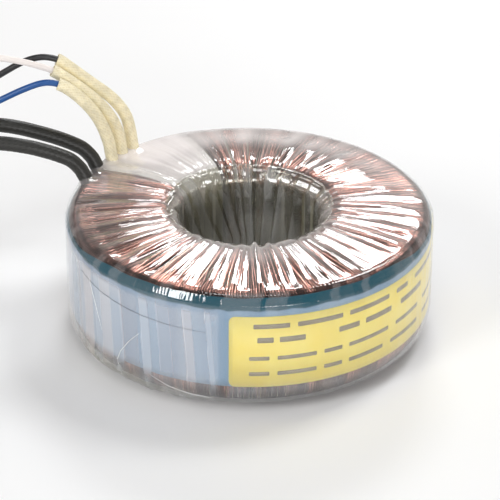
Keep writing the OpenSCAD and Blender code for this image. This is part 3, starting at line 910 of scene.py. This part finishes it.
def band_material():
    """Blue polyester tape. Its upper margin lies over dark copper and looks deep teal."""
    made = new_material("blue_tape")
    split = node(made, "ShaderNodeSeparateXYZ", {"Vector": place(made)})
    ragged = reckon(made, "MULTIPLY", noise(made, 240, 2), 0.0014)
    level = reckon(made, "ADD", split.outputs["Z"], ragged)
    limits = {"From Min": (FILM_WALL_TOP - 0.5) * MM, "From Max": FILM_WALL_TOP * MM}
    share = node(made, "ShaderNodeMapRange", {"Value": level, **limits}).outputs[0]
    stretched = node(
        made, "ShaderNodeMapping", {"Vector": place(made), "Scale": (150, 150, 6)}).outputs[0]
    streak = noise(made, 1.0, 3, vector=stretched)
    wall = ramp(made, streak, 0.3, 0.7, (0.15, 0.28, 0.44), (0.29, 0.41, 0.55))
    colour = colour_mix(made, share, wall, (0.0, 0.075, 0.115, 1))
    return show(made, principled(made, Base_Color=colour, Roughness=0.5, Specular_IOR_Level=0.1,
        Normal=bump(made, streak, 0.3, 0.0003)))


BAND_CURL = 34  # direction in which the folded margin ends
BAND_COLUMNS = 420
BAND_THICKNESS = 0.2


def make_band():
    profile = [(BAND_R, z) for z in np.linspace(BAND_LOW, FILM_WALL_TOP, 10)]
    profile += chamfered(FILM_R, FILM_WALL_TOP, FILM_R - BAND_R, BAND_CURL, (3, 4, 3))
    turn = np.arange(BAND_COLUMNS) * 2 * math.pi / BAND_COLUMNS
    rng = random(5)
    wave = sum(
        rng.uniform(0.01, 0.03) * np.sin(rng.integers(4, 40) * turn + rng.uniform(0, 6))
        for _ in range(8))
    top_wave = 0.12 * np.sin(23 * turn + 1) * np.sin(5 * turn)
    # the margin is folded over at the front only
    curled = 0.2 + 0.8 * smooth((-np.sin(turn) - 0.35) / 0.35)
    rows = []
    for side in (0, BAND_THICKNESS):
        for r, z in profile if side else profile[::-1]:
            above = max(0.0, z - FILM_WALL_TOP) * curled + min(0.0, z - FILM_WALL_TOP)
            lift = top_wave * smooth((z - BAND_TOP + 3) / 3)
            reach = BAND_R - (BAND_R - r) * curled - BAND_THICKNESS + side + wave * 0.5
            rows.append(around(reach, turn, FILM_WALL_TOP + above + lift))
    piece = mesh_piece("band", np.concatenate(rows),
        grid_faces(len(rows), BAND_COLUMNS, True, True), band_material(), "band_blue")
    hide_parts("blue_band")


def on_label(along, up, out):
    """A point on the label: along it from its left end, up from its lower edge, and out of it."""
    return around(LABEL_R + out, LABEL_START * DEG + along / LABEL_R, BAND_LOW + up)


def label_patch(x0, x1, y0, y1, radius, out, thickness):
    """Points and faces of a thin curved plate with round corners, on the label."""
    bends = radius * (1 - np.cos(np.linspace(0, 90, 5) * DEG))
    columns = np.concatenate([np.arange(x0, x1, 1.0), [x1], x0 + bends, x1 - bends])
    columns = np.unique(columns.round(4))
    points, faces = [], []
    for x in columns:
        inset = max(0.0, radius - (x - x0), radius - (x1 - x))
        cut = radius - math.sqrt(max(radius**2 - inset**2, 0))
        for up in (y0 + cut, y1 - cut):
            for side in (out, out - thickness):
                points.append(on_label(x, up, side))
    n = 4 * len(columns)
    for a in range(0, n - 4, 4):
        b = a + 4
        faces += [[a, b, b + 2, a + 2], [a + 1, a + 3, b + 3, b + 1],
            [a, a + 1, b + 1, b], [a + 2, b + 2, b + 3, a + 3]]
    faces += [[0, 2, 3, 1], [n - 4, n - 3, n - 1, n - 2]]
    return points, faces


def join_patches(patches):
    points, faces = [], []
    for p, f in patches:
        faces += [[k + len(points) for k in face] for face in f]
        points += p
    return points, faces


# generic bars and blocks stand for the print: each row's place up the label, its height, and the
# ends of its bars
PRINT_ROWS = (
    (16.6, 1.3, [(6, 15), (17, 29), (31, 44), (47, 52), (56, 74)]),
    (12.6, 1.5, [(7, 11), (12.5, 19), (28, 34), (36, 45), (49, 60)]),
    (7.6, 1.1, [(5, 10), (12, 22), (24, 29), (31, 44), (47, 58), (62, 76)]),
    (3.2, 1.1, [(5, 10), (12, 22), (24, 29), (31, 42), (45, 58), (62, 76)]),
)
PRINT_CORNER = 0.25
PRINT_THICKNESS = 0.014
PRINT_OUT = 0.015


def make_label():
    paper = plain("yellow_label", (0.97, 0.78, 0.12), (1.0, 0.85, 0.19), 0.42, grain=700,
        depth=0.00002)
    ink = plain("label_ink", (0.22, 0.18, 0.12), (0.34, 0.29, 0.20), 0.5, grain=1500,
        depth=0.00002)
    plate = mesh_piece("label_plate",
        *label_patch(0, LABEL_LENGTH, 0, LABEL_HEIGHT, LABEL_CORNER, 0.0, LABEL_THICKNESS),
        paper, "label_paper")
    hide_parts("label")
    bars = [label_patch(a, b, up, up + tall, PRINT_CORNER, PRINT_OUT, PRINT_THICKNESS)
        for up, tall, ends in PRINT_ROWS for a, b in ends]
    mesh_piece("label_print", *join_patches(bars), ink, "label_paper")


# ---- pieces of the CAD that stay ----


def paint_kept_nodes():
    for name, material in (
        ("steel_core", plain(
            "core_steel", (0.30, 0.30, 0.31), (0.42, 0.42, 0.43), 0.4, 1.0, 800, 0.00005)),
        ("core_tape", plain(
            "core_tape", (0.78, 0.76, 0.68), (0.86, 0.84, 0.76), 0.45, grain=600)),
        ("primary_winding", plain(
            "primary_copper", (0.50, 0.18, 0.10), (0.72, 0.32, 0.20), 0.3, 1.0, 700, 0.00006)),
        ("barrier_tape", plain(
            "barrier_tape", (0.74, 0.70, 0.56), (0.82, 0.78, 0.64), 0.4, grain=600)),
        ("lead_pad", plain(
            "milky_pad", (0.80, 0.79, 0.76), (0.90, 0.89, 0.87), 0.35, grain=300, depth=0.0002)),
    ):
        paint(name, material)


# ---- camera, light and floor ----

CAMERA_AT = (0, -0.6076, 0.3660)
CAMERA_AIM = (0.00017, 0.0013, 0.0196)
CAMERA_ROLL = 0.006
CAMERA_LENS = 194.7


def look(thing, at, target, roll=0.0):
    """Puts the camera or a lamp at a place, turned towards a target."""
    thing.location = at
    thing.rotation_euler = (Vector(target) - Vector(at)).to_track_quat("-Z", "Y").to_euler()
    thing.rotation_euler.rotate_axis("Z", roll)


def make_camera():
    camera = bpy.data.objects.new("camera", bpy.data.cameras.new("camera"))
    camera.data.lens = CAMERA_LENS
    camera.data.clip_start, camera.data.clip_end = 0.01, 20
    bpy.context.scene.collection.objects.link(camera)
    look(camera, CAMERA_AT, CAMERA_AIM, CAMERA_ROLL)
    bpy.context.scene.camera = camera


def softbox(name, at, width, height, strength):
    """A rectangular lamp that faces the object. strength: radiance of its face."""
    lamp = bpy.data.lights.new(name, "AREA")
    lamp.shape = "RECTANGLE"
    lamp.size, lamp.size_y = width, height
    lamp.energy = strength * width * height * math.pi
    lamp.color = (0.98, 0.99, 1.0)
    made = bpy.data.objects.new(name, lamp)
    bpy.context.scene.collection.objects.link(made)
    look(made, at, (0, 0, 0.02))


def make_light():
    softbox("back_softbox", (0.06, 0.71, 0.57), 0.26, 0.17, 15.0)
    softbox("back_right_softbox", (0.38, 0.34, 0.76), 0.24, 0.28, 13.5)
    softbox("top_softbox", (-0.05, -0.42, 0.93), 0.44, 0.26, 4.5)
    softbox("front_left_softbox", (-0.66, -0.68, 0.62), 0.30, 0.42, 10.0)
    softbox("front_softbox", (0.35, -1.25, 0.28), 0.7, 0.30, 8.0)
    world = bpy.data.worlds.new("studio")
    bpy.context.scene.world = world
    world.use_nodes = True
    world.node_tree.nodes.clear()
    way = node(world, "ShaderNodeTexCoord").outputs["Generated"]
    split = node(world, "ShaderNodeSeparateXYZ", {0: way})
    # pale and warm below, dark overhead
    shade = node(world, "ShaderNodeValToRGB", {"Fac": split.outputs["Z"]})
    stops = shade.color_ramp.elements
    stops[0].position, stops[0].color = 0.0, (0.95, 0.905, 0.87, 1)
    stops[1].position, stops[1].color = 1.0, (0.08, 0.08, 0.08, 1)
    for position, grey in ((0.30, 0.80), (0.50, 0.50), (0.68, 0.18)):
        stops.new(position).color = (grey, 0.95 * grey, 0.91 * grey, 1)
    # the front of the room is darker
    limits = {"From Min": -0.7, "From Max": 0.1, "To Min": 0.45, "To Max": 1.0}
    front = node(world, "ShaderNodeMapRange", {"Value": split.outputs["Y"], **limits})
    dimmed = node(world, "ShaderNodeVectorMath",
        {0: shade.outputs["Color"], "Scale": front.outputs[0]}, operation="SCALE")
    back = node(world, "ShaderNodeBackground", {"Color": dimmed.outputs[0], "Strength": 1.0})
    out = node(world, "ShaderNodeOutputWorld")
    world.node_tree.links.new(back.outputs[0], out.inputs["Surface"])


FLOOR_HALF = 3.0
FLOOR_LEVEL = -0.0001
FLOOR_WHITE = 0.04  # share of plain white that only the camera, mirrors and glass see


def make_floor():
    made = new_material("pale_floor")
    colour = ramp(made, noise(made, 8, 2), 0.3, 0.7, (0.925, 0.925, 0.925), (0.95, 0.95, 0.95))
    shader = principled(made, Base_Color=colour, Roughness=0.55, Specular_IOR_Level=0.2)
    glow = node(made, "ShaderNodeEmission", {"Color": (1.0, 0.995, 0.99, 1), "Strength": 1.0})
    ray = node(made, "ShaderNodeLightPath").outputs
    seen = reckon(made, "MAXIMUM", ray["Is Camera Ray"], ray["Is Glossy Ray"])
    seen = reckon(made, "MAXIMUM", seen, ray["Is Transmission Ray"])
    share = reckon(made, "MULTIPLY", seen, FLOOR_WHITE)
    show(made, shader_mix(made, share, shader, glow.outputs[0]))
    h = FLOOR_HALF
    mesh = bpy.data.meshes.new("floor")
    mesh.from_pydata([(-h, -h, 0), (h, -h, 0), (h, h, 0), (-h, h, 0)], [], [(0, 1, 2, 3)])
    mesh.materials.append(made)
    floor = bpy.data.objects.new("floor", mesh)
    floor.location.z = FLOOR_LEVEL
    bpy.context.scene.collection.objects.link(floor)


make_camera()
make_leads()
make_turns()
make_band()
make_label()
make_film()
make_liner()
make_creases()
paint_kept_nodes()
make_light()
make_floor()

bpy.context.scene.view_settings.view_transform = "Standard"
